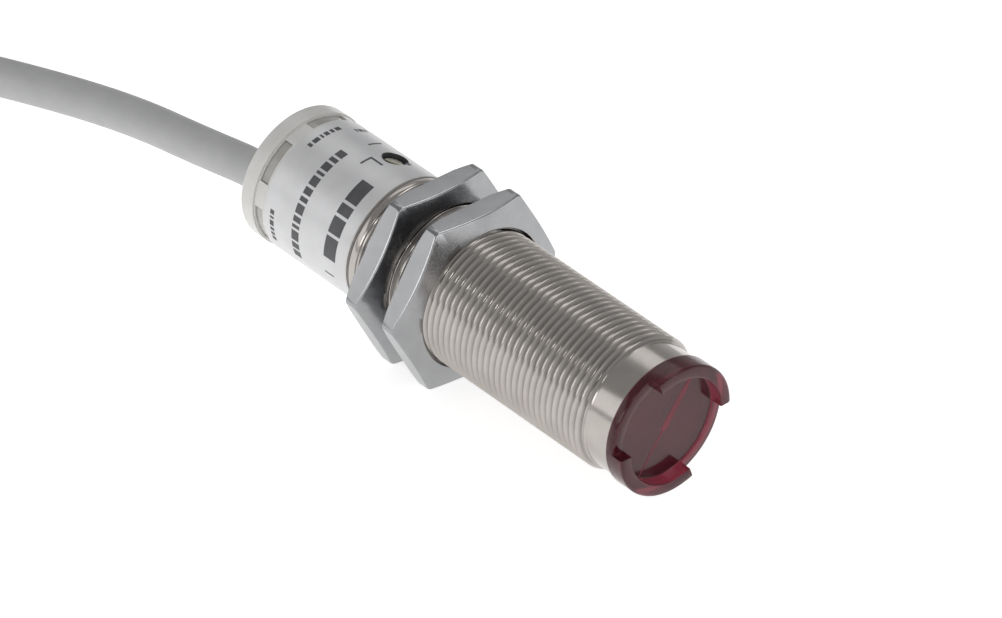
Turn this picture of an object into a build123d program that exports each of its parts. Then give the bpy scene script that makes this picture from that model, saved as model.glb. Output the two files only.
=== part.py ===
"""M18 photoelectric sensor: threaded barrel, two hexagon nuts, ruby lens cap, rear cap and cable.

Millimetres. The sensor lies along X with its lens towards +X and rests on its nuts: the origin is under
the middle of the sensor's length, on the surface that it lies on, and +Z is up. Each piece is modelled
about the barrel's axis and lifted to its place when it is written. Angles about the axis are in degrees
from +Y towards +Z.
"""

import math
import os

from build123d import *

# Barrel, an M18 x 1 thread with a plain sleeve in front
THREAD_R = 9.0
THREAD_ROOT_R = 8.4
BORE_R = 7.6
BARREL_REAR = -14.6
BEAD = (-14.3, -13.1)
THREAD_START = -12.8
THREAD_END = 27.2
BEAD_FRONT_GROOVE_R = 8.7
BEAD_REAR_GROOVE_R = 8.6
FREE_THREAD_GROOVE = 0.7
SLEEVE_R = 8.375
SLEEVE_END = 31.15

# Nuts, 23 mm across flats, with a cone in front and blunt corners
NUT_FLATS = 23.0
NUT_CORNER_R = 13.15
NUT_THICK = 3.5
NUT_CONE_SLOPE = 0.355
NUT_FLAT_AT_MIDDLE = 2.73
NUT_BORE_R = 9.05
NUT_MOUTH_R = 9.4
NUT_REAR_CHAMFER = (0.4, 1.0)
REAR_NUT_X = -10.25
FRONT_NUT_X = -3.65
AXIS_Z = NUT_FLATS / 2

# Lens cap
LENS_R = 8.7
WINDOW_R = 7.1
WINDOW_X = (31.0, 32.15)
RIM_X = 32.4
LENS_FRONT = 34.0
LOBES = ((3.0, 112.0), (183.0, 292.0))
SKIRT_REAR = 27.2
SKIRT_INNER_R = 6.5

# Rear cap
CAP_REAR = -34.0
CAP_RIM_R = 9.05
CAP_BODY_R = 8.85
CAP_LIP_R = 8.95
CAP_INNER_R = 7.9
CAP_WALL = 1.6
SPIGOT_END = -8.0
SPIGOT_INNER_R = 6.6
WINDOW_BAND = (-31.7, -29.9)
CAP_WINDOW_X = (-31.5, -30.1)
CAP_WINDOW_ARC = 38.0
CAP_WINDOW_FIRST = 17.8
CAP_WINDOWS = 6
CAP_EDGE_FILLET = 0.35
GUIDE_INNER_R = 7.0
GUIDE_START = -31.6
GUIDE_TAB_R = 8.65
GUIDE_TAB_CLEARANCE = (0.05, 0.4)
LABEL_X = (-29.7, -14.8)

# O-rings
SEAL_WIRE_R = 0.25
SEAL_GROOVE_HALF = 0.35
CAP_SEAL_X = -10.3
LENS_SEAL_X = 29.0

# Sensitivity adjuster, on the axis that the circuit board faces
BOARD_TILT = -18.4
ADJUSTER_X = -19.5
ADJUSTER_HOLE_R = 1.7
SCREW_R = 1.3
SCREW_CLEARANCE = 0.06
SCREW_TOP = 8.35

# Electronics
BOARD_X = (-26.2, 20.2)
BOARD_WIDTH = 12.6
BOARD_THICK = 1.0
BOARD_FACE = BOARD_THICK / 2
OPTIC_BOARD_R = 6.4
OPTIC_BOARD_THICK = 1.0
OPTIC_ANGLE = 145.7
OPTIC_OFFSET = 3.3
HOLDER_X = (21.4, 30.6)
HOLDER_FLANGE_X = (22.4, 24.4)
CHANNEL_REAR = (3.2, 1.9)
CHANNEL_R = 2.6
LENS_SEAT = (1.6, 2.9)
DIVIDER_THICK = 0.7
OPTIC_LENS_R = 2.85
OPTIC_LENS_EDGE = 0.6
OPTIC_LENS_CROWN = 0.9
OPTO_FOOT = (0.8, 1.7)
OPTO_CASE = (1.2, 1.4)

# Cable and its three cores
CABLE_R = 2.5
EXIT_DROP = 3.5
GROMMET_R = 3.4
GROMMET_FLANGE = (0.7, 4.2)
CLAMP_X = (-30.6, -28.6)
CLAMP_THICK = 0.6
JACKET_INNER_END = -28.0
CORE_R = 0.7
INNER_CORE_R = 0.45
CORE_SPACING = 1.08

# The cable's route from its exit to the hank, in the sensor's own X, Y and Z
EXIT = (CAP_REAR, 0.0, AXIS_Z - EXIT_DROP)
ROUTE = [
    EXIT,
    (-40.0, 0.0, 8.0),
    (-51.0, -0.8, 6.3),
    (-62.5, -0.9, 4.3),
    (-74.0, -2.9, 2.5),
    (-85.0, -8.6, 2.6),
    (-96.5, -16.0, 2.8),
    (-108.5, -21.2, 3.0),
    (-120.5, -22.3, 3.1),
]

# Hank: an oblong winding, two turns wide and four high, lying on its ties
HANK_RUN = 77.5
HANK_NEAR_X = -118.6
HANK_Y = -2.0
TURN_PITCH = 5.05
TURNS_HIGH = 4
INNER_FOLD_R = 15.5
OUTER_FOLD_R = INNER_FOLD_R + TURN_PITCH
HANK_FLOOR = 0.6
HANK_TOP = HANK_FLOOR + (TURNS_HIGH - 1) * TURN_PITCH + 2 * CABLE_R
TIE_WIDTH = 4.5
TIE_THICK = 0.6
TAIL = [
    (-118.6, -17.5, 3.1),
    (-128.5, -16.6, 3.0),
    (-138.5, -12.9, 2.7),
    (-149.0, -8.6, 2.5),
    (-157.0, -6.6, 2.5),
    (-165.0, -6.6, 2.5),
]
LEADS = {
    "lead_brown": [(-165.0, -7.45, 2.1), (-169.0, -7.45, 2.1), (-175.5, -8.6, 0.8), (-184.0, -10.2, 0.75)],
    "lead_blue": [(-165.0, -5.75, 2.1), (-169.5, -5.75, 2.1), (-177.0, -4.4, 0.8), (-187.0, -3.0, 0.75)],
    "lead_black": [(-165.0, -6.6, 3.5), (-170.5, -6.6, 3.5), (-180.0, -6.9, 0.9), (-190.0, -6.5, 0.75)],
}
TIP_R = 0.4
TIP_LENGTH = 5.0


def turned(*profile):
    """A solid turned about the sensor's axis from (x, radius) points."""
    return revolve(make_face(Polyline(*profile, close=True)), Axis.X)


def ring(x0, x1, outer, inner=0.0):
    return turned((x0, inner), (x1, inner), (x1, outer), (x0, outer))


def ring_part(x0, x1, outer, inner, start, end):
    """The part of a ring between two angles about the axis."""
    section = make_face(Polyline((x0, inner), (x1, inner), (x1, outer), (x0, outer), close=True))
    return Rot(X=start) * revolve(section, Axis.X, revolution_arc=end - start)


def o_ring(x):
    """A round-section seal that touches the barrel's bore."""
    section = Pos(x, BORE_R - SEAL_WIRE_R) * Circle(SEAL_WIRE_R)
    return revolve(section, Axis.X)


def seal_groove(x):
    return ring(x - SEAL_GROOVE_HALF, x + SEAL_GROOVE_HALF, BORE_R + 1, BORE_R - 2 * SEAL_WIRE_R)


def circle_edges(shape, x, radius):
    """A shape's round edges of one radius at one station along the axis."""
    return [
        e
        for e in shape.edges().filter_by(GeomType.CIRCLE)
        if abs(e.center().X - x) < 0.01 and abs(e.radius - radius) < 0.01
    ]


def along_x(x0, x1, radius, y=0.0, z=0.0):
    """A rod parallel to the axis."""
    return Pos((x0 + x1) / 2, y, z) * Rot(Y=90) * Cylinder(radius, x1 - x0)


def on_board(shape):
    """From the circuit board's frame, whose Z is the board's normal, to the sensor's."""
    return Rot(X=BOARD_TILT) * shape


def chip(x, u, length, width, height, side=1):
    """A block that stands on the board's upper (side 1) or lower (side -1) face."""
    return Pos(x, u, side * (BOARD_FACE + height / 2)) * Box(length, width, height)


def in_optics(shape):
    """From the optics' frame, whose Y runs through both lens centres, to the sensor's."""
    return Rot(X=OPTIC_ANGLE) * shape


def barrel():
    body = turned(
        (BARREL_REAR, BORE_R),
        (SLEEVE_END, BORE_R),
        (SLEEVE_END, SLEEVE_R),
        (THREAD_END, SLEEVE_R),
        (THREAD_END, THREAD_R),
        (THREAD_START, THREAD_R),
        (THREAD_START, BEAD_FRONT_GROOVE_R),
        (BEAD[1], BEAD_FRONT_GROOVE_R),
        (BEAD[1], THREAD_R),
        (BEAD[0], THREAD_R),
        (BEAD[0], BEAD_REAR_GROOVE_R),
        (BARREL_REAR, BEAD_REAR_GROOVE_R),
    )
    # the thread's free stretch ends at one of its grooves, under the front nut's mouth
    free_start = FRONT_NUT_X + NUT_THICK + 0.1
    return body - ring(free_start - FREE_THREAD_GROOVE, free_start, THREAD_R + 1, THREAD_ROOT_R)


def nut(x):
    """A hexagon nut whose rear face is at x and whose cone faces the lens."""
    flats_r = NUT_FLATS / 2
    mouth_x = x + NUT_FLAT_AT_MIDDLE + NUT_CONE_SLOPE * (flats_r - NUT_MOUTH_R)
    corner_x = x + NUT_FLAT_AT_MIDDLE - NUT_CONE_SLOPE * (NUT_CORNER_R - flats_r)
    blank = turned(
        (x, 0),
        (x, NUT_CORNER_R - NUT_REAR_CHAMFER[1]),
        (x + NUT_REAR_CHAMFER[0], NUT_CORNER_R),
        (corner_x, NUT_CORNER_R),
        (mouth_x, NUT_MOUTH_R),
        (x + NUT_THICK, NUT_MOUTH_R),
        (x + NUT_THICK, 0),
    )
    hexagon = RegularPolygon(flats_r, 6, major_radius=False)
    prism = extrude(Plane.YZ.offset(x - 1) * hexagon, NUT_THICK + 2)
    mouth = NUT_MOUTH_R - NUT_BORE_R
    hole = turned(
        (x - 1, 0),
        (x - 1, NUT_MOUTH_R),
        (x, NUT_MOUTH_R),
        (x + mouth, NUT_BORE_R),
        (x + NUT_THICK - mouth, NUT_BORE_R),
        (x + NUT_THICK, NUT_MOUTH_R),
        (x + NUT_THICK + 1, NUT_MOUTH_R),
        (x + NUT_THICK + 1, 0),
    )
    return blank & prism - hole


def front_lens():
    """A ruby cap: window, rim and two raised lobes, on a skirt that plugs into the barrel."""
    cap = turned(
        (SKIRT_REAR, SKIRT_INNER_R),
        (WINDOW_X[0], SKIRT_INNER_R),
        (WINDOW_X[0], 0),
        (WINDOW_X[1], 0),
        (WINDOW_X[1], WINDOW_R),
        (RIM_X, WINDOW_R),
        (RIM_X, LENS_R),
        (SLEEVE_END, LENS_R),
        (SLEEVE_END, BORE_R),
        (SKIRT_REAR, BORE_R),
    )
    for start, end in LOBES:
        cap += ring_part(RIM_X, LENS_FRONT, LENS_R, WINDOW_R, start, end)
    return cap - seal_groove(LENS_SEAL_X)


def optic_holder():
    """A black block with a light channel for the emitter and one for the receiver, and a rib between them."""
    rear, front = HOLDER_X
    block = ring(rear, front, OPTIC_BOARD_R) + ring(*HOLDER_FLANGE_X, BORE_R - 0.05)
    rear_depth, rear_r = CHANNEL_REAR
    seat_depth, seat_r = LENS_SEAT
    for side in (1, -1):
        y = side * OPTIC_OFFSET
        block -= along_x(rear, rear + rear_depth, rear_r, y)
        block -= along_x(rear + rear_depth, front - seat_depth, CHANNEL_R, y)
        block -= along_x(front - seat_depth, front, seat_r, y)
    gap = WINDOW_X[0] - front
    rib = Pos(front + gap / 2, 0, 0) * Box(gap, DIVIDER_THICK, 2 * OPTIC_BOARD_R - 0.6)
    return in_optics(block + rib)


def lens(side):
    """A plano-convex lens, flat in front."""
    radius, crown = OPTIC_LENS_R, OPTIC_LENS_CROWN
    front = HOLDER_X[1]
    back = front - OPTIC_LENS_EDGE
    outline = Polyline((back, radius), (front, radius), (front, 0), (back - crown, 0))
    dome = ThreePointArc(
        (back - crown, 0),
        (back - crown * 0.72, radius * 0.53),
        (back, radius),
    )
    return in_optics(Pos(0, side * OPTIC_OFFSET) * revolve(make_face(outline + dome), Axis.X))


def opto(side):
    """A round-topped light emitter or receiver standing on the optic board."""
    base = BOARD_X[1] + OPTIC_BOARD_THICK
    foot_height, foot_r = OPTO_FOOT
    case_height, case_r = OPTO_CASE
    shoulder = base + foot_height
    top = shoulder + case_height
    body = ring(base, shoulder, foot_r) + ring(shoulder, top, case_r) + Pos(top, 0, 0) * Sphere(case_r)
    return in_optics(Pos(0, side * OPTIC_OFFSET) * body)


def cap_window_arcs():
    """Where each of the cap's windows starts and ends, in degrees."""
    middles = [CAP_WINDOW_FIRST + i * 360 / CAP_WINDOWS for i in range(CAP_WINDOWS)]
    return [(middle - CAP_WINDOW_ARC / 2, middle + CAP_WINDOW_ARC / 2) for middle in middles]


def light_guide():
    """A clear ring inside the cap, with a tab that fills each window."""
    guide = ring(GUIDE_START, LABEL_X[0], CAP_INNER_R, GUIDE_INNER_R)
    gap, gap_arc = GUIDE_TAB_CLEARANCE
    rear, front = CAP_WINDOW_X
    for start, end in cap_window_arcs():
        guide += ring_part(rear + gap, front - gap, GUIDE_TAB_R, CAP_INNER_R - 0.2, start + gap_arc, end - gap_arc)
    return guide


def rear_cap():
    """A moulded cap with light windows, the adjuster's recess and the cable's hole."""
    cap = turned(
        (CAP_REAR, 0),
        (CAP_REAR, CAP_RIM_R),
        (WINDOW_BAND[0], CAP_RIM_R),
        (WINDOW_BAND[0], CAP_BODY_R),
        (WINDOW_BAND[1], CAP_BODY_R),
        (WINDOW_BAND[1], CAP_LIP_R),
        (LABEL_X[0], CAP_LIP_R),
        (LABEL_X[0], CAP_BODY_R),
        (LABEL_X[1], CAP_BODY_R),
        (LABEL_X[1], CAP_LIP_R),
        (BARREL_REAR, CAP_LIP_R),
        (BARREL_REAR, BORE_R),
        (SPIGOT_END, BORE_R),
        (SPIGOT_END, SPIGOT_INNER_R),
        (BARREL_REAR - 1, SPIGOT_INNER_R),
        (BARREL_REAR - 1, CAP_INNER_R),
        (CAP_REAR + CAP_WALL, CAP_INNER_R),
        (CAP_REAR + CAP_WALL, 0),
    )
    cap = fillet(circle_edges(cap, CAP_REAR, CAP_RIM_R), CAP_EDGE_FILLET)
    for start, end in cap_window_arcs():
        cap -= ring_part(*CAP_WINDOW_X, CAP_RIM_R, CAP_INNER_R - 0.5, start, end)
    cap -= on_board(Pos(ADJUSTER_X, 0, CAP_BODY_R) * Cylinder(ADJUSTER_HOLE_R, 4))
    cap -= along_cable(CAP_REAR - 1, CAP_REAR + CAP_WALL + 1, GROMMET_R)
    return cap - seal_groove(CAP_SEAL_X)


def rating_label():
    """A thin sleeve around the cap, with a hole over the adjuster."""
    sleeve = ring(*LABEL_X, CAP_LIP_R, CAP_BODY_R)
    return sleeve - on_board(Pos(ADJUSTER_X, 0, CAP_BODY_R) * Cylinder(ADJUSTER_HOLE_R, 4))


def trimmer_body():
    height, floor = 3.4, 0.6
    case = chip(ADJUSTER_X, 0, 4.4, 4.4, height)
    well = Pos(ADJUSTER_X, 0, BOARD_FACE + floor + height / 2)
    return on_board(case - well * Cylinder(SCREW_R + SCREW_CLEARANCE, height))


def sensitivity_screw():
    """A slotted screw that turns in the trimmer, below the label's surface."""
    foot = BOARD_FACE + 0.7
    shaft = Pos(ADJUSTER_X, 0, (foot + SCREW_TOP) / 2) * Cylinder(SCREW_R, SCREW_TOP - foot)
    slot = Pos(ADJUSTER_X, 0, SCREW_TOP) * Rot(Z=35) * Box(3.2, 0.5, 1.2)
    return on_board(shaft - slot)


def adjuster_seal():
    collar = Cylinder(2.2, 1.3) - Cylinder(SCREW_R + SCREW_CLEARANCE, 1.3)
    return on_board(Pos(ADJUSTER_X, 0, 6.9) * collar)


def main_board():
    middle = (BOARD_X[0] + BOARD_X[1]) / 2
    return on_board(Pos(middle, 0, 0) * Box(BOARD_X[1] - BOARD_X[0], BOARD_WIDTH, BOARD_THICK))


def resistors():
    """Rows of small chip resistors on both faces of the board."""
    top = [chip(x, u, 1.6, 0.8, 0.5) for x in (-13.5, -11.3, 12.0, 14.5) for u in (-4.6, 4.6)]
    below = [chip(x, u, 1.6, 0.8, 0.5, -1) for x in (-18.0, -4.0, 10.0) for u in (-3.2, 0.0, 3.2)]
    return on_board(Compound(children=top + below))


def capacitors():
    """Small ceramic capacitors around the control chip."""
    top = [chip(x, u, 1.2, 2.0, 1.1) for x in (-1.2, 11.8) for u in (-2.2, 2.2)]
    below = [chip(x, u, 2.0, 1.2, 1.1, -1) for x in (-12.0, 3.0, 15.5) for u in (-2.6, 2.6)]
    return on_board(Compound(children=top + below))


def indicator_leds():
    """Two small lamps at the rear end of the board, behind the light guide."""
    return on_board(Compound(children=[chip(-25.2, u, 1.6, 1.2, 0.9) for u in (-4.0, 4.0)]))


def along_cable(x0, x1, radius):
    """A rod along the cable's axis inside the cap."""
    return along_x(x0, x1, radius, z=-EXIT_DROP)


def cable_grommet():
    """A rubber sleeve in the cap's rear wall with a flange behind the wall."""
    inner_wall = CAP_REAR + CAP_WALL
    flange_end = inner_wall + GROMMET_FLANGE[0]
    sleeve = along_cable(CAP_REAR, inner_wall, GROMMET_R) + along_cable(inner_wall, flange_end, GROMMET_FLANGE[1])
    return sleeve - along_cable(CAP_REAR, flange_end, CABLE_R)


def inner_core(offset):
    """One insulated core from the jacket's inner end to the board's lower face."""
    solder_z = -BOARD_FACE - INNER_CORE_R
    tilt = math.radians(BOARD_TILT)
    u = offset - EXIT_DROP * math.sin(tilt)
    start_z = 0.7 - EXIT_DROP * math.cos(tilt)
    path = FilletPolyline(
        (JACKET_INNER_END, u, start_z),
        (-26.8, u, start_z),
        (-25.2, u, solder_z),
        (-22.4, u, solder_z),
        radius=0.8,
    )
    return on_board(sweep((path ^ 0) * Circle(INNER_CORE_R), path))


def hank_block(fold_r, bottom, top):
    """An oblong block with round ends, as wide as the hank at one of its turns."""
    outline = SlotCenterToCenter(HANK_RUN, 2 * fold_r)
    return Pos(HANK_NEAR_X - HANK_RUN / 2, HANK_Y, bottom) * extrude(outline, top - bottom)


def cable_hank():
    outside = hank_block(OUTER_FOLD_R + CABLE_R, HANK_FLOOR, HANK_TOP)
    return outside - hank_block(INNER_FOLD_R - CABLE_R, HANK_FLOOR, HANK_TOP)


def hank_ties():
    """A flat band round each side of the hank, with its lock on the outer face."""
    height = HANK_TOP - HANK_FLOOR
    width = 2 * CABLE_R + TURN_PITCH
    middle = HANK_FLOOR + height / 2
    bands = []
    for side in (1, -1):
        y = HANK_Y + side * (INNER_FOLD_R + TURN_PITCH / 2)
        band = Box(TIE_WIDTH, width + 2 * TIE_THICK, height + 2 * TIE_THICK) - Box(TIE_WIDTH, width, height)
        lock = Pos(0, 0, height / 2 + TIE_THICK + 0.9) * Box(TIE_WIDTH + 1.2, 5.0, 1.8)
        bands.append(Pos(HANK_NEAR_X - HANK_RUN / 2, y, middle) * (band + lock))
    return Compound(children=bands)


def arc_radii(points):
    """The largest arc that the two runs beside each corner leave room for."""
    radii = []
    for a, b, c in zip(points, points[1:], points[2:]):
        before, after = Vector(*b) - Vector(*a), Vector(*c) - Vector(*b)
        half_turn = math.radians(before.get_angle(after)) / 2
        radii.append(0.45 * min(before.length, after.length) / math.tan(half_turn))
    return radii


def tube(points, radius, name):
    """A round cord along straight runs joined by tangent arcs."""
    radii = arc_radii(points)
    path = FilletPolyline(*points, radius=radii)
    solid = sweep((path ^ 0) * Circle(radius), path)
    exact = math.pi * radius**2 * path.length
    print(f"{name}: radii {[round(r, 1) for r in radii]}, length {path.length:.1f}, volume ratio {solid.volume / exact:.4f}")
    return solid


def tips():
    """The bare stranded ends of the three leads."""
    ends = []
    for points in LEADS.values():
        x, y, z = points[-1]
        ends.append(along_x(x - TIP_LENGTH, x, TIP_R, y, z))
    return Compound(children=ends)


def write(name, shape):
    """Write a piece that is already in the sensor's own frame."""
    export_step(shape, f"parts/{name}.step")


def lift(name, shape):
    """Write a piece that is modelled about the barrel's axis."""
    write(name, Pos(0, 0, AXIS_Z) * shape)


def main():
    os.makedirs("parts", exist_ok=True)
    lift("barrel", barrel())
    lift("rear_nut", nut(REAR_NUT_X))
    lift("front_nut", nut(FRONT_NUT_X))

    lift("front_lens", front_lens())
    lift("lens_seal", o_ring(LENS_SEAL_X))
    lift("optic_holder", optic_holder())
    lift("emitter_lens", lens(1))
    lift("receiver_lens", lens(-1))
    lift("emitter_led", opto(1))
    lift("receiver_photodiode", opto(-1))
    lift("optic_board", ring(BOARD_X[1], BOARD_X[1] + OPTIC_BOARD_THICK, OPTIC_BOARD_R))

    lift("main_board", main_board())
    lift("control_chip", on_board(chip(3.5, 0, 5.0, 5.0, 0.9)))
    lift("output_transistor", on_board(chip(-12.4, 0, 3.6, 3.0, 1.5)))
    lift("filter_capacitor", on_board(Pos(16.2, 0, BOARD_FACE + 2.0) * Rot(X=90) * Cylinder(2.0, 5.2)))
    lift("chip_resistors", resistors())
    lift("chip_capacitors", capacitors())
    lift("indicator_leds", indicator_leds())
    lift("trimmer_body", trimmer_body())
    lift("sensitivity_screw", sensitivity_screw())
    lift("adjuster_seal", adjuster_seal())

    lift("rear_cap", rear_cap())
    lift("cap_seal", o_ring(CAP_SEAL_X))
    lift("rating_label", rating_label())
    lift("light_guide", light_guide())
    lift("cable_grommet", cable_grommet())
    lift("cable_clamp", along_cable(*CLAMP_X, CABLE_R + CLAMP_THICK) - along_cable(*CLAMP_X, CABLE_R))
    lift("cable_inner_end", along_cable(CAP_REAR, JACKET_INNER_END, CABLE_R))
    lift("core_brown", inner_core(-CORE_SPACING))
    lift("core_blue", inner_core(0.0))
    lift("core_black", inner_core(CORE_SPACING))

    write("cable_hank", cable_hank())
    write("hank_ties", hank_ties())
    room_for_hank = hank_block(OUTER_FOLD_R + CABLE_R, -HANK_TOP, HANK_TOP)
    write("cable", tube(ROUTE, CABLE_R, "cable") - room_for_hank)
    room_for_turns = room_for_hank - hank_block(INNER_FOLD_R - CABLE_R, -HANK_TOP, HANK_TOP)
    write("cable_tail", tube(TAIL, CABLE_R, "cable_tail") - room_for_turns)
    for name, points in LEADS.items():
        write(name, tube(points, CORE_R, name))
    write("lead_tips", tips())


main()
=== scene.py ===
"""Looks of the M18 photoelectric sensor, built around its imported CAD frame.

Sizes are in millimetres and become metres where a mesh is made. The sensor's axis runs along X,
and angles about it are in degrees from +Y towards +Z.
"""

import math

import bmesh
import bpy
from mathutils import Matrix, Vector


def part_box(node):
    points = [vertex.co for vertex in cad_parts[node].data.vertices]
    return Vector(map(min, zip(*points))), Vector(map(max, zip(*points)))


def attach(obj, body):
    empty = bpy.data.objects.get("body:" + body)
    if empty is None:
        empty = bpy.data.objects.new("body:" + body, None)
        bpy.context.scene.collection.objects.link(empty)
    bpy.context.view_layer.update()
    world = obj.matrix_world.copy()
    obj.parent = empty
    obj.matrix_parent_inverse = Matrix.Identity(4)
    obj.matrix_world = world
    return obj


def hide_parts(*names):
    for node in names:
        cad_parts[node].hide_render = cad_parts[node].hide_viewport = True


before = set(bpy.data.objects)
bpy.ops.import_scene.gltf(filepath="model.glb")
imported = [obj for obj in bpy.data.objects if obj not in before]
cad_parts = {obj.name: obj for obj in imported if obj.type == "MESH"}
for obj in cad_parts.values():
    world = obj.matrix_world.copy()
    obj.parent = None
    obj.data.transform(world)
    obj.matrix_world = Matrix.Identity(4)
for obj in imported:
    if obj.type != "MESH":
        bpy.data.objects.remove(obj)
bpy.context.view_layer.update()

MM = 0.001
SENSOR = "sensor"


def corners(node):
    """A CAD node's lowest and highest corners, in millimetres."""
    low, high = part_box(node)
    return low / MM, high / MM


barrel_low, barrel_high = corners("barrel")
lens_low, lens_high = corners("front_lens")
label_low, label_high = corners("rating_label")
exit_low, exit_high = corners("cable_inner_end")
AXIS_Z = (barrel_low.z + barrel_high.z) / 2
CABLE_R = (exit_high.z - exit_low.z) / 2

# ---------------------------------------------------------------- camera

CAMERA_AT = (0.57092, -0.54163, 0.57618)
CAMERA_AZIMUTH = 46.346
CAMERA_ELEVATION = 35.728
CAMERA_ROLL = 3.028
LENS_MM = 291.9
SENSOR_WIDTH_MM = 36.0


def link_object(name, data):
    """A new object, linked to the scene."""
    thing = bpy.data.objects.new(name, data)
    bpy.context.scene.collection.objects.link(thing)
    return thing


def make_camera():
    """A long lens that looks down at the sensor from the front left."""
    data = bpy.data.cameras.new("camera")
    data.lens = LENS_MM
    data.sensor_width = SENSOR_WIDTH_MM
    data.sensor_fit = "HORIZONTAL"
    data.clip_end = 20
    camera = link_object("camera", data)
    turn = (
        Matrix.Rotation(math.radians(CAMERA_AZIMUTH), 4, "Z")
        @ Matrix.Rotation(math.radians(90 - CAMERA_ELEVATION), 4, "X")
        @ Matrix.Rotation(math.radians(CAMERA_ROLL), 4, "Z")
    )
    camera.matrix_world = Matrix.Translation(CAMERA_AT) @ turn
    bpy.context.scene.camera = camera


# ---------------------------------------------------------------- materials

# the part of a noise's values that a material makes use of
NOISE_SPAN = (0.3, 0.7)
METAL_IOR = 2.2
METAL_DRIFT = 3.0
METAL_GRAIN = (0.25, 4.0)
PLASTIC_DRIFT = 2.5
PLASTIC_DETAIL = 5.0
# length along the sensor over which the painted shade of the thread's grooves ends
SHADE_FADE = 0.3


def principled(material):
    """The material's principled shader."""
    return material.node_tree.nodes["Principled BSDF"]


def new_material(name, **sockets):
    """A material with sockets of its principled shader set, such as Coat_Weight for Coat Weight."""
    material = bpy.data.materials.new(name)
    material.use_nodes = True
    for socket, value in sockets.items():
        principled(material).inputs[socket.replace("_", " ")].default_value = value
    return material


def add_node(owner, kind, inputs=(), **settings):
    """A node of a material or world. Each of its inputs is a value or another node's output."""
    tree = owner.node_tree
    node = tree.nodes.new(kind)
    for key, value in settings.items():
        setattr(node, key, value)
    for key, value in dict(inputs).items():
        if isinstance(value, bpy.types.NodeSocket):
            tree.links.new(value, node.inputs[key])
        else:
            node.inputs[key].default_value = value
    return node


def shader_input(material, socket, output):
    """Link a node's output to a socket of the principled shader."""
    material.node_tree.links.new(output, principled(material).inputs[socket])


def place(material, scale=(1, 1, 1)):
    """Coordinates in millimetres on the piece, stretched by scale."""
    where = add_node(material, "ShaderNodeTexCoord").outputs["Object"]
    inputs = {"Vector": where, "Scale": [factor / MM for factor in scale]}
    return add_node(material, "ShaderNodeMapping", inputs).outputs["Vector"]


def noise(material, size, detail=3.0, scale=(1, 1, 1)):
    """Noise with features about size millimetres across."""
    inputs = {"Vector": place(material, scale), "Scale": 1 / size, "Detail": detail}
    return add_node(material, "ShaderNodeTexNoise", inputs).outputs["Fac"]


def ramp(owner, value, low, high, start=0.0, end=1.0, ease="LINEAR"):
    """A number that goes from low to high as value goes from start to end."""
    inputs = {"Value": value, "From Min": start, "From Max": end, "To Min": low, "To Max": high}
    node = add_node(owner, "ShaderNodeMapRange", inputs, interpolation_type=ease)
    return node.outputs["Result"]


def blend_colours(material, value, first, second):
    """A colour that goes from first to second as value goes from 0 to 1."""
    node = add_node(material, "ShaderNodeMix", data_type="RGBA")
    sockets = {s.name: s for s in node.inputs if s.enabled}
    material.node_tree.links.new(value, sockets["Factor"])
    sockets["A"].default_value = first + (1,)
    sockets["B"].default_value = second + (1,)
    return next(s for s in node.outputs if s.enabled)


def bump(material, height, depth):
    """A bump of the given depth in millimetres."""
    inputs = {"Height": height, "Strength": 1.0, "Distance": depth * MM}
    return add_node(material, "ShaderNodeBump", inputs).outputs["Normal"]


def give_surface(material, drift_size, colours, grain, gloss, grain_depth):
    """A drift between two colours, and a fine grain that varies the gloss and lifts the surface."""
    drift = ramp(material, noise(material, drift_size), 0, 1, *NOISE_SPAN)
    shader_input(material, "Base Color", blend_colours(material, drift, *colours))
    fine = noise(material, *grain)
    shader_input(material, "Roughness", ramp(material, fine, *gloss, *NOISE_SPAN))
    shader_input(material, "Normal", bump(material, fine, grain_depth))
    return material


def metal(name, bright, dull, smooth, rough, grain_depth, stretch=(1, 1, 1)):
    """Plated metal: its colour and gloss drift, and a fine grain catches the light."""
    material = new_material(name, Metallic=1.0, IOR=METAL_IOR)
    grain = METAL_GRAIN + (stretch,)
    return give_surface(material, METAL_DRIFT, (bright, dull), grain, (smooth, rough), grain_depth)


def plastic(name, light, dark, roughness, spread=0.06, grain=0.35, grain_depth=0.004, **sockets):
    """Moulded plastic: a faint drift of colour, uneven gloss and a fine texture."""
    material = new_material(name, **sockets)
    grain = (grain, PLASTIC_DETAIL)
    gloss = (roughness - spread, roughness + spread)
    return give_surface(material, PLASTIC_DRIFT, (light, dark), grain, gloss, grain_depth)


def paint_groove_shade(material, tone, deep, shallow, end):
    """Paint shade into a turned material's colour: darken it to tone where it lies deep, by its
    radius, up to the station end.
    """
    colour = principled(material).inputs["Base Color"].links[0].from_socket
    where = add_node(material, "ShaderNodeTexCoord").outputs["Object"]
    from_axis = {0: where, 1: (0, 1, 1), 2: (0, 0, -AXIS_Z * MM)}
    across = add_node(material, "ShaderNodeVectorMath", from_axis, operation="MULTIPLY_ADD")
    across = {0: across.outputs["Vector"]}
    radius = add_node(material, "ShaderNodeVectorMath", across, operation="LENGTH").outputs["Value"]
    along = add_node(material, "ShaderNodeSeparateXYZ", {0: where}).outputs["X"]
    shade = ramp(material, radius, tone, 1.0, deep * MM, shallow * MM)
    beyond = ramp(material, along, 0.0, 1.0, end * MM, (end + SHADE_FADE) * MM)
    shade = add_node(material, "ShaderNodeMath", {0: shade, 1: beyond}, operation="MAXIMUM")
    shaded = {0: colour, "Scale": shade.outputs["Value"]}
    shaded = add_node(material, "ShaderNodeVectorMath", shaded, operation="SCALE")
    shader_input(material, "Base Color", shaded.outputs["Vector"])


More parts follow.
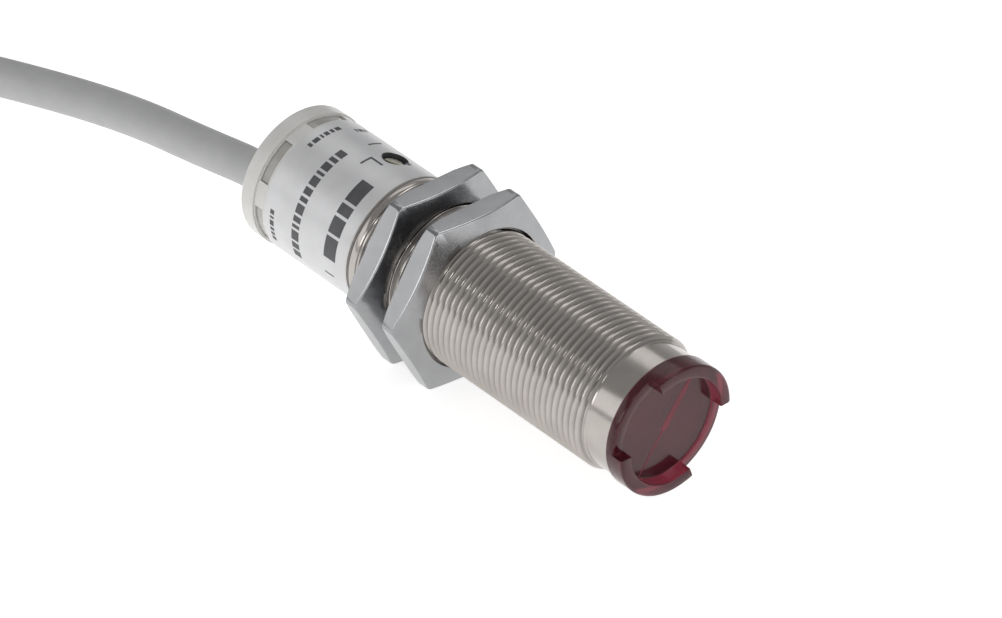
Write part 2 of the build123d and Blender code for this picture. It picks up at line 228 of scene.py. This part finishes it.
NICKEL = metal(
    "nickel", (0.47, 0.44, 0.41), (0.42, 0.39, 0.365), 0.13, 0.22, 0.0015, (2.5, 0.4, 0.4)
)
# painted shade: the barrel's colour darkens in the thread's grooves and other low places
paint_groove_shade(NICKEL, tone=0.55, deep=8.42, shallow=8.8, end=27.0)
ZINC = metal("nut_zinc", (0.36, 0.363, 0.367), (0.32, 0.323, 0.33), 0.17, 0.27, 0.0012)
TIN = metal("tinned_copper", (0.78, 0.74, 0.69), (0.70, 0.62, 0.52), 0.25, 0.4, 0.01, (0.3, 3, 3))
CAN = metal("can_aluminium", (0.80, 0.81, 0.82), (0.70, 0.71, 0.73), 0.3, 0.45, 0.002)
BRASS = metal("screw_brass", (0.88, 0.85, 0.76), (0.80, 0.76, 0.66), 0.38, 0.5, 0.003)
STEEL = metal("clamp_steel", (0.62, 0.62, 0.62), (0.52, 0.52, 0.53), 0.3, 0.45, 0.003)

RUBY = plastic(
    "ruby", (0.22, 0.03, 0.05), (0.19, 0.026, 0.043), 0.14, 0.02, 0.5, 0.0006,
    Transmission_Weight=0.78, IOR=1.41
)
RIB = plastic(
    "window_rib", (0.19, 0.035, 0.05), (0.13, 0.03, 0.04), 0.4, 0.03, 0.3, 0.001,
    Specular_IOR_Level=0.15
)
CAP = plastic(
    "cap_plastic", (0.62, 0.61, 0.59), (0.57, 0.56, 0.54), 0.33, 0.05, 0.3, 0.002,
    Subsurface_Weight=0.25, Subsurface_Radius=(0.002, 0.002, 0.002), Coat_Weight=0.2
)
GUIDE = plastic(
    "light_guide", (0.37, 0.355, 0.335), (0.33, 0.315, 0.3), 0.14, 0.03, 0.4, 0.001,
    Coat_Weight=0.4
)
LABEL = plastic(
    "label_foil", (0.63, 0.63, 0.635), (0.585, 0.585, 0.59), 0.34, 0.05, 0.12, 0.0015,
    Metallic=0.3
)
INK = plastic("label_ink", (0.06, 0.06, 0.065), (0.085, 0.085, 0.09), 0.5, 0.06, 0.1, 0.001)
JACKET = plastic(
    "cable_jacket", (0.42, 0.42, 0.42), (0.385, 0.385, 0.385), 0.52, 0.07, 0.3, 0.006
)
SEAL = plastic("seal_rubber", (0.025, 0.025, 0.025), (0.04, 0.04, 0.04), 0.6)
OPTIC = plastic("optic_black", (0.02, 0.02, 0.022), (0.03, 0.03, 0.032), 0.45)
CLEAR = new_material(
    "clear_lens", Base_Color=(0.97, 0.97, 0.98, 1), Roughness=0.03, IOR=1.52,
    Transmission_Weight=1.0
)
RESIN = plastic(
    "clear_resin", (0.85, 0.87, 0.88), (0.80, 0.82, 0.84), 0.1, 0.03, Transmission_Weight=0.7
)
BOARD = plastic("board_green", (0.02, 0.16, 0.07), (0.015, 0.12, 0.05), 0.35, 0.08, 0.15, 0.003)
CHIP = plastic("chip_black", (0.02, 0.02, 0.022), (0.03, 0.03, 0.032), 0.55)
CERAMIC = plastic("chip_ceramic", (0.50, 0.40, 0.28), (0.40, 0.31, 0.21), 0.5)
LAMP = plastic("indicator_resin", (0.90, 0.62, 0.12), (0.85, 0.52, 0.08), 0.2)
BLUE_CASE = plastic("trimmer_case", (0.03, 0.09, 0.30), (0.025, 0.07, 0.25), 0.4)
CORE_BROWN = plastic("core_brown", (0.13, 0.055, 0.025), (0.11, 0.045, 0.02), 0.42)
CORE_BLUE = plastic("core_blue", (0.03, 0.09, 0.33), (0.025, 0.075, 0.28), 0.42)
CORE_BLACK = plastic("core_black", (0.015, 0.015, 0.016), (0.022, 0.022, 0.024), 0.42)
NYLON = plastic("tie_nylon", (0.03, 0.03, 0.032), (0.045, 0.045, 0.048), 0.45)

CAD_FINISH = {
    "lens_seal": SEAL,
    "cap_seal": SEAL,
    "adjuster_seal": SEAL,
    "cable_grommet": SEAL,
    "optic_holder": OPTIC,
    "emitter_lens": CLEAR,
    "receiver_lens": CLEAR,
    "emitter_led": RESIN,
    "receiver_photodiode": RESIN,
    "optic_board": BOARD,
    "main_board": BOARD,
    "control_chip": CHIP,
    "output_transistor": CHIP,
    "filter_capacitor": CAN,
    "chip_resistors": CERAMIC,
    "chip_capacitors": CERAMIC,
    "indicator_leds": LAMP,
    "trimmer_body": BLUE_CASE,
    "cable_clamp": STEEL,
    "cable_inner_end": JACKET,
    "core_brown": CORE_BROWN,
    "core_blue": CORE_BLUE,
    "core_black": CORE_BLACK,
}

# ---------------------------------------------------------------- mesh helpers

CIRCLE_STEPS = 192
CIRCLE = [360 * i / CIRCLE_STEPS for i in range(CIRCLE_STEPS)]
# points this near each other become one, in metres
JOIN_WITHIN = 2e-7
# CAD facets within this angle of each other become one face, in degrees
FLAT_WITHIN = 0.5


def polar(x, radius, angle):
    """A point in metres from its station, radius and angle about the sensor's axis."""
    turn = math.radians(angle)
    return Vector((x, radius * math.cos(turn), AXIS_Z + radius * math.sin(turn))) * MM


def paint(mesh, material):
    """Make a material the only one of a mesh."""
    mesh.materials.clear()
    mesh.materials.append(material)


def add_piece(name, mesh, material, body, bevel=0.0, sharp=30.0):
    """Link a mesh as a piece, with rounded edges and shading that stays flat on flat faces."""
    paint(mesh, material)
    mesh.polygons.foreach_set("use_smooth", [True] * len(mesh.polygons))
    mesh.set_sharp_from_angle(angle=math.radians(sharp))
    piece = link_object(name, mesh)
    if bevel:
        rounding = piece.modifiers.new("rounding", "BEVEL")
        rounding.width = bevel * MM
        rounding.segments = 3
        rounding.limit_method = "ANGLE"
        rounding.angle_limit = math.radians(sharp)
    weighted = piece.modifiers.new("flat_faces", "WEIGHTED_NORMAL")
    weighted.keep_sharp = True
    weighted.weight = 100
    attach(piece, body)
    return piece


def clean_mesh(name, points, faces):
    """A closed mesh from points and faces, with coincident points joined and normals outward."""
    mesh = bpy.data.meshes.new(name)
    mesh.from_pydata(points, [], faces)
    work = bmesh.new()
    work.from_mesh(mesh)
    bmesh.ops.remove_doubles(work, verts=work.verts, dist=JOIN_WITHIN)
    bmesh.ops.dissolve_degenerate(work, edges=work.edges, dist=JOIN_WITHIN)
    bmesh.ops.recalc_face_normals(work, faces=work.faces)
    work.to_mesh(mesh)
    work.free()
    return mesh


def ring_faces(columns, rows, close_rows):
    """Quads between rows of a grid whose columns run round the axis."""
    last = rows if close_rows else rows - 1
    faces = []
    for row in range(last):
        below = row * columns
        above = ((row + 1) % rows) * columns
        for i in range(columns):
            k = (i + 1) % columns
            faces.append((below + i, below + k, above + k, above + i))
    return faces


def turned_mesh(name, profile, angles):
    """A closed outline of (x, radius) turned about the axis. A point may be a function of angle."""
    points = []
    for spot in profile:
        for angle in angles:
            x, radius = spot(angle) if callable(spot) else spot
            points.append(polar(x, radius, angle))
    return clean_mesh(name, points, ring_faces(len(angles), len(profile), True))


def refined(name, node, material, bevel=0.0, body=SENSOR):
    """A copy of a CAD node's mesh with rounded edges, which stands for that node."""
    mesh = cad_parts[node].data.copy()
    mesh.name = name
    work = bmesh.new()
    work.from_mesh(mesh)
    bmesh.ops.remove_doubles(work, verts=work.verts, dist=JOIN_WITHIN)
    flat = math.radians(FLAT_WITHIN)
    bmesh.ops.dissolve_limit(work, angle_limit=flat, verts=work.verts, edges=work.edges)
    work.to_mesh(mesh)
    work.free()
    piece = add_piece(name, mesh, material, body, bevel)
    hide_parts(node)
    return piece


# ---------------------------------------------------------------- barrel

PITCH = 1.0
THREAD_X = (-12.8, 27.45)
THREAD_ROOT_R = 8.39
THREAD_CREST_R = 9.0
# one pitch of the thread: share of the pitch, share of the height
THREAD_PROFILE = [
    (0, 0),
    (0.08, 0.03),
    (0.38, 0.84),
    (0.44, 0.96),
    (0.5, 1),
    (0.56, 0.96),
    (0.62, 0.84),
    (0.92, 0.03),
]
# turns drawn past the thread's ends, which its rows are cut back to
SPARE_TURNS = 3
# rise of the cut at the thread's rear end. The one at its front end rises at 45 degrees.
RUN_IN_SLOPE = 0.8
GROOVE_R = 8.7
SLEEVE_R = 8.375
BORE_R = 7.6
BEAD_X = (-14.3, -13.1)
BEAD_HEIGHT = 0.3
BEAD_FULLNESS = 0.6
BEAD_STEPS = 8
COLLAR_R = 8.6
COLLAR_CHAMFER = 0.1


def thread_grid(angles):
    """The points and faces of a right-hand thread whose rows follow its helix, cut square."""
    start, end = THREAD_X
    per_pitch = len(THREAD_PROFILE)
    rows = per_pitch * (round((end - start) / PITCH) + SPARE_TURNS)
    columns = len(angles)
    points = []
    for row in range(rows):
        share, height = THREAD_PROFILE[row % per_pitch]
        for angle in angles:
            x = start + PITCH * (row // per_pitch - 1 + share + angle / 360)
            radius = THREAD_ROOT_R + height * (THREAD_CREST_R - THREAD_ROOT_R)
            run_in = GROOVE_R + (x - start) * RUN_IN_SLOPE
            run_out = SLEEVE_R + (end - x)
            x = min(max(x, start), end)
            radius = min(radius, max(run_in, GROOVE_R), max(run_out, SLEEVE_R))
            if x == start:
                radius = GROOVE_R
            if x == end:
                radius = SLEEVE_R
            points.append(polar(x, radius, angle))
    faces = []
    for row in range(rows - 1):
        for i in range(columns - 1):
            a = row * columns + i
            faces.append((a, a + 1, a + columns + 1, a + columns))
        seam = (row + per_pitch) * columns
        if row + per_pitch + 1 < rows:
            a = row * columns + columns - 1
            faces.append((a, seam, seam + columns, a + columns))
    return points, faces


def make_barrel():
    """The threaded tube, its front sleeve and, behind the thread, a bead between two grooves."""
    points, faces = thread_grid(CIRCLE)
    rear, front = barrel_low.x, barrel_high.x
    bead_rear, bead_front = BEAD_X
    outline = [
        (THREAD_X[1], SLEEVE_R),
        (front - 0.2, SLEEVE_R),
        (front - 0.06, SLEEVE_R - 0.05),
        (front, SLEEVE_R - 0.2),
        (front, BORE_R),
        (rear, BORE_R),
        (rear, COLLAR_R - COLLAR_CHAMFER),
        (rear + COLLAR_CHAMFER, COLLAR_R),
        (bead_rear, COLLAR_R),
    ]
    for step in range(BEAD_STEPS + 1):
        turn = math.pi * step / BEAD_STEPS
        x = (bead_rear + bead_front) / 2 - (bead_front - bead_rear) / 2 * math.cos(turn)
        outline.append((x, GROOVE_R + BEAD_HEIGHT * math.sin(turn) ** BEAD_FULLNESS))
    outline.append((THREAD_X[0], GROOVE_R))
    offset = len(points)
    for x, radius in outline:
        points += [polar(x, radius, angle) for angle in CIRCLE]
    for face in ring_faces(len(CIRCLE), len(outline), False):
        faces.append(tuple(offset + i for i in face))
    mesh = clean_mesh("barrel_threaded", points, faces)
    piece = add_piece("barrel_threaded", mesh, NICKEL, SENSOR, sharp=75)
    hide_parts("barrel")


# ---------------------------------------------------------------- nuts

NUT_FLATS_R = 11.5
NUT_CORNER_R = 13.15
NUT_BORE_R = 9.05
NUT_MOUTH_R = 9.4
NUT_CONE_SLOPE = 0.355
NUT_FLAT_LENGTH = 2.73
NUT_REAR_CHAMFER_R = 12.15
NUT_REAR_SLOPE = 0.4
EDGE = 0.1
EDGE_R = 0.36
CORNER_SOFTNESS = 0.03
REAR_ROUNDING = 0.3 * EDGE
FRONT_ROUNDING_STEPS = 5
# rings that divide the cone between its rounding and the bore's mouth
CONE_RINGS = (10.9, 10.2)
# angles from a corner to the middle of a flat, closer where the flat meets the blunt corner
BESIDE_CORNER = [0, 0.4, 0.7, 0.95, 1.2, 1.5, 2.0, 3.0, 5, 8, 12, 18, 24, 30]


def nut_side(angle):
    """The nut's outside radius at an angle: a hexagon with level flats and blunt corners."""
    from_flat = (angle % 60) - 30
    flat = NUT_FLATS_R / math.cos(math.radians(from_flat))
    gap = flat - NUT_CORNER_R
    return (flat + NUT_CORNER_R - math.sqrt(gap * gap + CORNER_SOFTNESS * CORNER_SOFTNESS)) / 2


def nut_angles():
    """Angles round a nut that repeat the spacing beside a corner."""
    mirrored = [60 - angle for angle in reversed(BESIDE_CORNER) if 0 < angle < 30]
    return [60 * side + angle for side in range(6) for angle in BESIDE_CORNER + mirrored]


def make_nut(node):
    """A thin nut whose cone and flats meet in a narrow rounding, in place of the CAD node."""
    rear = corners(node)[0].x
    cone_tilt = math.atan(1 / NUT_CONE_SLOPE)
    run_in = EDGE_R * math.tan(cone_tilt / 2)

    def cone_x(radius):
        return rear + NUT_FLAT_LENGTH - NUT_CONE_SLOPE * (radius - NUT_FLATS_R)

    def chamfer_x(radius):
        return rear + max(0.0, (radius - NUT_REAR_CHAMFER_R) * NUT_REAR_SLOPE)

    def rear_face(angle):
        return rear, min(nut_side(angle) - EDGE, NUT_REAR_CHAMFER_R)

    def rear_edge(angle):
        radius = nut_side(angle) - EDGE
        return chamfer_x(radius), radius

    def rear_rounding(angle):
        radius = nut_side(angle)
        return chamfer_x(radius) + REAR_ROUNDING, radius - REAR_ROUNDING

    def side_rear(angle):
        radius = nut_side(angle)
        return chamfer_x(radius) + EDGE, radius

    def front_rounding(share):
        def spot(angle):
            side = nut_side(angle)
            turn = cone_tilt * share
            x = cone_x(side) - run_in + EDGE_R * math.sin(turn)
            return x, side - EDGE_R * (1 - math.cos(turn))

        return spot

    profile = [
        (rear + 0.4, NUT_BORE_R),
        (rear + 0.05, NUT_MOUTH_R - 0.02),
        (rear, NUT_MOUTH_R + 0.04),
        rear_face,
        rear_edge,
        rear_rounding,
        side_rear,
    ]
    profile += [front_rounding(k / FRONT_ROUNDING_STEPS) for k in range(FRONT_ROUNDING_STEPS + 1)]
    profile += [(cone_x(radius), radius) for radius in CONE_RINGS]
    profile += [
        (cone_x(NUT_MOUTH_R + 0.08), NUT_MOUTH_R + 0.08),
        (cone_x(NUT_MOUTH_R) - 0.03, NUT_MOUTH_R),
        (cone_x(NUT_MOUTH_R) - 0.45, NUT_BORE_R),
    ]
    mesh = turned_mesh(node + "_body", profile, nut_angles())
    piece = add_piece(node + "_body", mesh, ZINC, node, sharp=35)
    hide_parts(node)


# ---------------------------------------------------------------- lens cap

LENS_WINDOW_X = 32.15
LENS_WINDOW_R = 7.1
LENS_RIM_X = 32.4
# the first and last angle of each raised lobe
LOBES = ((3.0, 112.0), (183.0, 292.0))
LENS_STEP = 2.0
WINDOW_BACK_X = 31.0
WINDOW_RING_R = 3.5
SKIRT_INNER_R = 6.5
SEAL_GROOVE_X = (28.65, 29.35)
SEAL_GROOVE_R = BORE_R - 0.5
WINDOW_RIB_ANGLE = 55.7
WINDOW_RIB_X = (LENS_WINDOW_X - 0.2, LENS_WINDOW_X + 0.015)
# half the rib's width, at places along it from the window's middle
WINDOW_RIB_OUTLINE = [(-6.9, 0.12), (-0.9, 0.16), (-0.6, 0.5), (0.2, 0.55), (4.6, 0.4), (6.9, 0.2)]


def lens_arc(start, end):
    """Angles from start to end, about LENS_STEP apart."""
    count = round((end - start) / LENS_STEP)
    return [start + (end - start) * i / count for i in range(count + 1)]


def lens_angles():
    """Angles round the lens cap, each with whether it lies on a lobe. A lobe's ends come twice."""
    spots = []
    for (start, end), (following, _) in zip(LOBES, LOBES[1:] + LOBES[:1]):
        gap_end = following if following > end else following + 360
        spots.append((start, False))
        spots += [(angle, True) for angle in lens_arc(start, end)]
        spots += [(angle, False) for angle in lens_arc(end, gap_end)[:-1]]
    return spots


def make_front_lens():
    """The ruby cap: a sunk window, a rim and two raised lobes with rounded outer edges."""
    rear, front = lens_low.x, lens_high.x
    outer = (lens_high.z - lens_low.z) / 2
    flange = barrel_high.x
    groove_rear, groove_front = SEAL_GROOVE_X
    spots = lens_angles()
    points = []

    def outline(top):
        return [
            (LENS_WINDOW_X, 0.0),
            (LENS_WINDOW_X, WINDOW_RING_R),
            (LENS_WINDOW_X, LENS_WINDOW_R - 0.15),
            (LENS_WINDOW_X + 0.04, LENS_WINDOW_R - 0.04),
            (LENS_WINDOW_X + 0.12, LENS_WINDOW_R),
            (top - 0.12, LENS_WINDOW_R),
            (top - 0.03, LENS_WINDOW_R + 0.04),
            (top, LENS_WINDOW_R + 0.14),
            (top, outer - 0.38),
            (top - 0.06, outer - 0.18),
            (top - 0.18, outer - 0.05),
            (top - 0.36, outer),
            (flange + 0.16, outer),
            (flange + 0.04, outer - 0.05),
            (flange, outer - 0.14),
            (flange, BORE_R),
            (groove_front, BORE_R),
            (groove_front, SEAL_GROOVE_R),
            (groove_rear, SEAL_GROOVE_R),
            (groove_rear, BORE_R),
            (rear, BORE_R),
            (rear, SKIRT_INNER_R),
            (WINDOW_BACK_X, SKIRT_INNER_R),
            (WINDOW_BACK_X, 0.0),
        ]

    rows = len(outline(front))
    for row in range(rows):
        for angle, raised in spots:
            x, radius = outline(front if raised else LENS_RIM_X)[row]
            points.append(polar(x, radius, angle))
    faces = ring_faces(len(spots), rows, False)
    mesh = clean_mesh("lens_cap", points, faces)
    piece = add_piece("lens_cap", mesh, RUBY, SENSOR, bevel=0.1, sharp=50)
    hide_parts("front_lens")


def make_window_rib():
    """The line across the window where the rib between the two light channels meets it."""
    outline = [(along, -aside) for along, aside in WINDOW_RIB_OUTLINE]
    outline += [(along, aside) for along, aside in reversed(WINDOW_RIB_OUTLINE)]
    lean = math.radians(WINDOW_RIB_ANGLE)
    points = []
    for x in WINDOW_RIB_X:
        for along, aside in outline:
            y = along * math.cos(lean) - aside * math.sin(lean)
            z = along * math.sin(lean) + aside * math.cos(lean)
            points.append((x * MM, y * MM, (z + AXIS_Z) * MM))
    count = len(outline)
    faces = [tuple(range(count)), tuple(range(count, 2 * count))]
    faces += [(i, (i + 1) % count, (i + 1) % count + count, i + count) for i in range(count)]
    add_piece("window_rib", clean_mesh("window_rib", points, faces), RIB, SENSOR)


# ---------------------------------------------------------------- rear cap and label

BOARD_TILT = -18.4
ADJUSTER_X = -19.5
ADJUSTER_HOLE_R = 1.7
# a dark lining of the adjuster's hole, which paints shade into its recess
LINING_INNER_R = ADJUSTER_HOLE_R - 0.12
LINING_OUTER_R = ADJUSTER_HOLE_R - 0.005
LINING_LIP = 0.06
LINING_LIP_HEIGHT = 0.1
LINING_SIDES = 64
LABEL_R = (label_high.z - label_low.z) / 2
LINING_Z = (7.62, LABEL_R - 0.06)
PRINT_DEPTH = 0.015
# degrees between the points of a curved bar
PATCH_STEP = 3
# rows of short bars in place of lettering: rear x, front x, first angle, and in degrees the bars'
# widths and gap
PRINT_ROWS = [
    (-18.7, -16.6, 110.0, (21.0, 9.0, 14.0, 19.0), 2.6),
    (-24.6, -23.3, 99.0, (7.0, 4.0, 7.0, 2.6, 8.0, 6.0, 4.0, 8.0, 5.0, 3.0, 9.0, 6.0, 7.0), 2.3),
    (-28.5, -27.8, 80.0, (5.0, 3.0, 4.0, 2.0, 6.0, 3.0), 1.9),
    (-28.6, -27.9, 172.0, (4.0, 2.0, 5.0, 3.0, 3.0, 4.0), 1.9),
    (-27.4, -26.7, 57.0, (3.0, 5.0, 2.0), 1.6),
]
# single strokes round the adjuster and near the lower edge: rear x, front x, first and last angle
PRINT_STROKES = [
    (-21.1, -20.8, 87.5, 99.5),
    (-20.8, -18.9, 87.5, 89.4),
    (-23.6, -23.3, 62.5, 77.5),
    (-18.7, -17.1, 196.0, 197.6),
    (-18.2, -17.6, 64.5, 69.0),
]


def add_patch(points, faces, x0, x1, start, end):
    """A thin closed patch on the label between two stations and two angles."""
    steps = max(1, math.ceil((end - start) / PATCH_STEP))
    low, high = LABEL_R - PRINT_DEPTH, LABEL_R + PRINT_DEPTH
    offset = len(points)
    for i in range(steps + 1):
        angle = start + (end - start) * i / steps
        for x, radius in ((x0, low), (x1, low), (x1, high), (x0, high)):
            points.append(polar(x, radius, angle))
    for i in range(steps):
        a = offset + 4 * i
        for k in range(4):
            n = (k + 1) % 4
            faces.append((a + k, a + n, a + 4 + n, a + 4 + k))
    last = offset + 4 * steps
    faces.append((offset, offset + 1, offset + 2, offset + 3))
    faces.append((last + 3, last + 2, last + 1, last))


def make_label_print():
    """Generic dark marks where the sensor carries its lettering."""
    points, faces = [], []
    for x0, x1, angle, widths, gap in PRINT_ROWS:
        for width in widths:
            add_patch(points, faces, x0, x1, angle, angle + width)
            angle += width + gap
    for stroke in PRINT_STROKES:
        add_patch(points, faces, *stroke)
    add_piece("label_print", clean_mesh("label_print", points, faces), INK, SENSOR)


def make_adjuster_shade_lining():
    """A dark lining in the adjuster's hole: painted shade that darkens its recess."""
    low, high = LINING_Z
    outline = [
        (low, LINING_INNER_R),
        (high - LINING_LIP_HEIGHT, LINING_INNER_R),
        (high, LINING_INNER_R + LINING_LIP),
        (high, LINING_OUTER_R),
        (low, LINING_OUTER_R),
    ]
    lean = Matrix.Rotation(math.radians(BOARD_TILT), 4, "X")
    points = []
    for height, radius in outline:
        for i in range(LINING_SIDES):
            turn = 2 * math.pi * i / LINING_SIDES
            across, along = radius * math.sin(turn), radius * math.cos(turn)
            spot = lean @ Vector((ADJUSTER_X + along, across, height))
            points.append((spot + Vector((0, 0, AXIS_Z))) * MM)
    faces = ring_faces(LINING_SIDES, len(outline), True)
    mesh = clean_mesh("adjuster_shade_lining", points, faces)
    add_piece("adjuster_shade_lining", mesh, SEAL, SENSOR, sharp=40)


def make_rear_cap():
    """The cap, its windows, the label with its marks, and the adjuster in its hole."""
    refined("cap_shell", "rear_cap", CAP, bevel=0.06)
    refined("light_ring", "light_guide", GUIDE, bevel=0.05)
    refined("label_sleeve", "rating_label", LABEL, bevel=0.02)
    screw = "sensitivity_screw"
    refined("adjuster_screw", screw, BRASS, bevel=0.05, body=screw)
    make_label_print()
    # a dark lining paints shade into the adjuster's hole
    make_adjuster_shade_lining()


# ---------------------------------------------------------------- cable

# places of the cable's middle from the cap to the hank, and from the hank to the stripped end
ROUTE = [
    (-34.0, 0.0, 8.0),
    (-40.0, 0.0, 8.0),
    (-51.0, -0.8, 6.3),
    (-62.5, -0.9, 4.3),
    (-74.0, -2.9, 2.5),
    (-85.0, -8.6, 2.6),
    (-96.5, -16.0, 2.8),
    (-108.5, -21.2, 3.0),
]
TAIL = [
    (-128.5, -16.6, 3.0),
    (-138.5, -12.9, 2.7),
    (-149.0, -8.6, 2.5),
    (-157.0, -6.6, 2.5),
    (-165.0, -6.6, 2.5),
]
TURN_PITCH = 5.05
OUTER_TURNS = 4
INNER_TURNS = 3
INNER_FOLD_R = 15.5
OUTER_FOLD_R = INNER_FOLD_R + TURN_PITCH
hank_low, hank_high = corners("cable_hank")
HANK_NEAR_X = hank_high.x - OUTER_FOLD_R - CABLE_R
HANK_FAR_X = hank_low.x + OUTER_FOLD_R + CABLE_R
HANK_Y = (hank_low.y + hank_high.y) / 2
HANK_FLOOR_Z = hank_low.z + CABLE_R
FOLD_STEPS = 10
# share of a straight run, and share of its rise by there
RUN_EASE = ((0.2, 0.0), (0.35, 0.13), (0.5, 0.5), (0.65, 0.87), (0.8, 1.0))


def fold(centre_x, radius, z, side, end_radius):
    """Points round one end of the hank, from one run to the other.

    side is -1 at the far end and 1 at the near end.
    """
    points = []
    for step in range(FOLD_STEPS + 1):
        share = step / FOLD_STEPS
        turn = math.pi * share
        reach = side * (radius + (end_radius - radius) * share)
        points.append((centre_x + reach * math.sin(turn), HANK_Y + reach * math.cos(turn), z))
    return points


def slope(first, last, rise, y, z):
    """Points along one straight run that leaves and arrives level."""
    return [(first + (last - first) * share, y, z + rise * eased) for share, eased in RUN_EASE]


def hank_points():
    """The winding: the outer turns climb to the top, then the inner turns go down to the floor."""
    points = []
    z = HANK_FLOOR_Z
    for turn in range(OUTER_TURNS + INNER_TURNS):
        outer = turn < OUTER_TURNS
        last_outer = turn == OUTER_TURNS - 1
        radius = OUTER_FOLD_R if outer else INNER_FOLD_R
        back_radius = OUTER_FOLD_R if outer and not last_outer else INNER_FOLD_R
        drop = 0.0 if outer else -TURN_PITCH
        climb = TURN_PITCH if outer and not last_outer else 0.0
        points += slope(HANK_NEAR_X, HANK_FAR_X, drop, HANK_Y - radius, z)
        z += drop
        points += fold(HANK_FAR_X, radius, z, -1, back_radius)
        points += slope(HANK_FAR_X, HANK_NEAR_X, climb, HANK_Y + back_radius, z)
        z += climb
        points += fold(HANK_NEAR_X, back_radius, z, 1, back_radius)
    return points


def make_cable():
    """One cable from the cap to its stripped end, its spare length tied in a hank behind."""
    points = ROUTE + hank_points() + TAIL
    curve = bpy.data.curves.new("sensor_cable", "CURVE")
    curve.dimensions = "3D"
    spline = curve.splines.new("NURBS")
    spline.points.add(len(points) - 1)
    for spot, (x, y, z) in zip(spline.points, points):
        spot.co = (x * MM, y * MM, z * MM, 1)
    spline.order_u = 3
    spline.use_endpoint_u = True
    spline.resolution_u = 10
    curve.bevel_depth = CABLE_R * MM
    curve.bevel_resolution = 8
    curve.use_fill_caps = True
    curve.materials.append(JACKET)
    cable = link_object("sensor_cable", curve)
    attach(cable, SENSOR)
    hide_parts("cable", "cable_hank", "cable_tail")
    tied = ("hank_ties", "lead_brown", "lead_blue", "lead_black", "lead_tips")
    on_it = [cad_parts[node] for node in tied]
    for piece, material in zip(on_it, (NYLON, CORE_BROWN, CORE_BLUE, CORE_BLACK, TIN)):
        paint(piece.data, material)


# ---------------------------------------------------------------- floor and light

# radiance of the world from level to overhead, and what it gains towards the right
WORLD_HEIGHT = (0.62, 0.37)
WORLD_HEIGHT_SPAN = (0.0, 0.5)
WORLD_RIGHT = (0.0, 0.05)
WORLD_RIGHT_SPAN = (0.1, 0.9)
WORLD_TINT = (0.985, 0.99, 1.0, 1)
FLOOR_HALF = 3.0
FLOOR_GLOW = 0.68
# the floor's glow fades and its colour darkens, a painted fall-off of light, between these
# distances, in metres
FLOOR_POOL = (0.05, 0.9)
FLOOR_TONES = (0.82, 0.66)
# name, place in metres, width, height, radiance
SOFTBOXES = [
    ("left_box", (-0.57, -0.72, 0.33), 0.8, 0.46, 0.8),
    ("side_box", (0.20, -0.90, 0.32), 0.75, 0.3, 2.4),
    ("rear_box", (-0.59, 0.37, 0.71), 0.6, 0.36, 0.75),
    ("overhead_box", (0.29, 0.42, 0.88), 0.6, 0.36, 2.2),
    ("front_box", (0.62, 0.78, 0.10), 0.3, 0.25, 1.2),
    ("low_box", (0.95, 0.22, 0.17), 0.7, 0.3, 1.6),
    ("small_box", (0.60, -0.53, 0.64), 0.12, 0.12, 7.0),
]


def make_world():
    """A tent of light: bright near the horizon and on the right, darker overhead."""
    world = bpy.data.worlds.new("studio")
    world.use_nodes = True
    where = add_node(world, "ShaderNodeTexCoord").outputs["Generated"]
    along = add_node(world, "ShaderNodeSeparateXYZ", {0: where}).outputs
    height = ramp(world, along["Z"], *WORLD_HEIGHT, *WORLD_HEIGHT_SPAN, ease="SMOOTHSTEP")
    right = ramp(world, along["X"], *WORLD_RIGHT, *WORLD_RIGHT_SPAN, ease="SMOOTHSTEP")
    total = add_node(world, "ShaderNodeMath", {0: height, 1: right}, operation="ADD")
    background = world.node_tree.nodes["Background"]
    background.inputs["Color"].default_value = WORLD_TINT
    world.node_tree.links.new(total.outputs[0], background.inputs["Strength"])
    bpy.context.scene.world = world


def make_floor():
    """A pale floor that glows round the sensor, so that the sensor casts hardly any shadow."""
    half = FLOOR_HALF
    square = [(-half, -half, 0), (half, -half, 0), (half, half, 0), (-half, half, 0)]
    mesh = bpy.data.meshes.new("floor")
    mesh.from_pydata(square, [], [(0, 1, 2, 3)])
    paper = new_material("floor_paper", Roughness=0.9, Emission_Color=(1, 1, 1, 1))
    where = {0: add_node(paper, "ShaderNodeNewGeometry").outputs["Position"]}
    away = add_node(paper, "ShaderNodeVectorMath", where, operation="LENGTH").outputs["Value"]
    spread = ramp(paper, away, 0.0, 1.0, *FLOOR_POOL, ease="SMOOTHERSTEP")
    shader_input(paper, "Emission Strength", ramp(paper, spread, FLOOR_GLOW, 0.0))
    # painted fall-off of light: the floor's colour darkens away from the sensor
    shader_input(paper, "Base Color", ramp(paper, spread, *FLOOR_TONES))
    paint(mesh, paper)
    link_object("floor", mesh)


def add_softbox(name, at, width, height, radiance):
    """A soft light of an even brightness that looks at the middle of the sensor."""
    data = bpy.data.lights.new(name, "AREA")
    data.shape = "RECTANGLE"
    data.size = width
    data.size_y = height
    data.energy = radiance * math.pi * width * height
    light = link_object(name, data)
    light.location = at
    aim = Vector((0, 0, AXIS_Z * MM)) - light.location
    light.rotation_euler = aim.to_track_quat("-Z", "Y").to_euler()


def make_stage():
    """The floor, the world's light and the soft lights."""
    make_floor()
    make_world()
    bpy.context.scene.view_settings.view_transform = "Standard"
    for softbox in SOFTBOXES:
        add_softbox(*softbox)


# ---------------------------------------------------------------- build

for node, finish in CAD_FINISH.items():
    paint(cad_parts[node].data, finish)

make_camera()
make_cable()
make_barrel()
make_nut("front_nut")
make_nut("rear_nut")
make_front_lens()
make_window_rib()
make_rear_cap()
make_stage()
